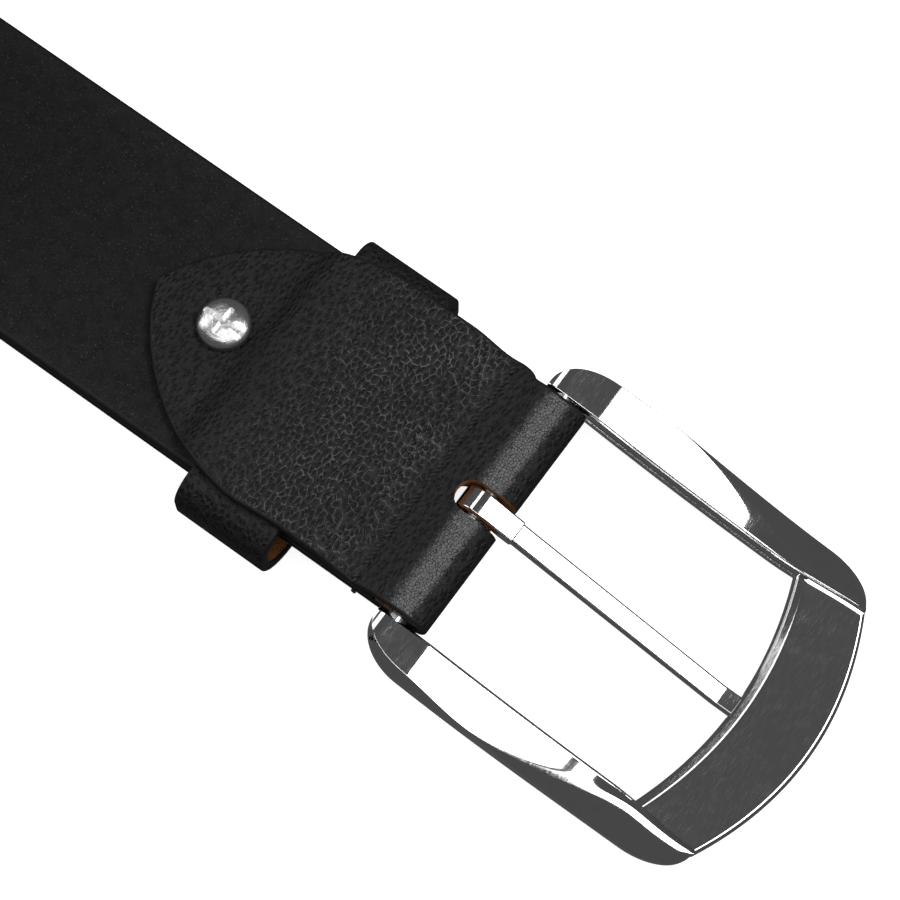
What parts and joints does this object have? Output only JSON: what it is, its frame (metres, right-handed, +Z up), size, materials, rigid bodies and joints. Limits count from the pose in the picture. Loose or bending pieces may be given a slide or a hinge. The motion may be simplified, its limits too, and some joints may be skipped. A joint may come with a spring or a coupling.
{
  "type": "leather belt",
  "caption": "Black leather belt, face down: strap folded round the bar of a prong buckle, stitched and held by a screw post, with a keeper loop and the free length rolled up.",
  "frame": {"origin": "middle of the belt's box, on the surface it lies on", "axes": "+X along the strap from the roll to the buckle's far end, +Y across the strap, +Z up, out of the belt's back"},
  "size_m": [0.2462, 0.053, 0.0766],
  "materials": {
    "grain_leather": "black pebbled grain, semi-matt, painted edges",
    "split_lining": "black coated split, matt, finely speckled",
    "filler_board": "bonded leather board, matt",
    "thread": "black waxed polyester thread",
    "chrome": "polished, bright",
    "plated_steel": "nickel plated"
  },
  "bodies": {
    "belt": {"strap_face_leather": "grain_leather", "strap_filler": "filler_board", "strap_lining": "split_lining", "stitch_thread_back": "thread", "stitch_thread_front": "thread", "screw_male": "chrome", "screw_post": "chrome"},
    "keeper": {"keeper_loop": "grain_leather", "keeper_staple_1": "plated_steel", "keeper_staple_2": "plated_steel"},
    "buckle": {"buckle_frame": "chrome", "buckle_bar": "plated_steel"},
    "prong": {"buckle_prong": "chrome"}
  },
  "joints": [
    {"name": "buckle_hinge", "type": "hinge", "parent": "belt", "child": "buckle", "pos_m": [0.06625, 0, 0.0113], "axis": [0, -1, 0], "range_deg": [-45, 90]},
    {"name": "prong_hinge", "type": "hinge", "parent": "buckle", "child": "prong", "pos_m": [0.06625, 0, 0.0113], "axis": [0, -1, 0], "range_deg": [-80, 0]},
    {"name": "keeper_slide", "type": "slide", "parent": "belt", "child": "keeper", "axis": [1, 0, 0], "range_m": [-0.0005, 0.0044]}
  ]
}
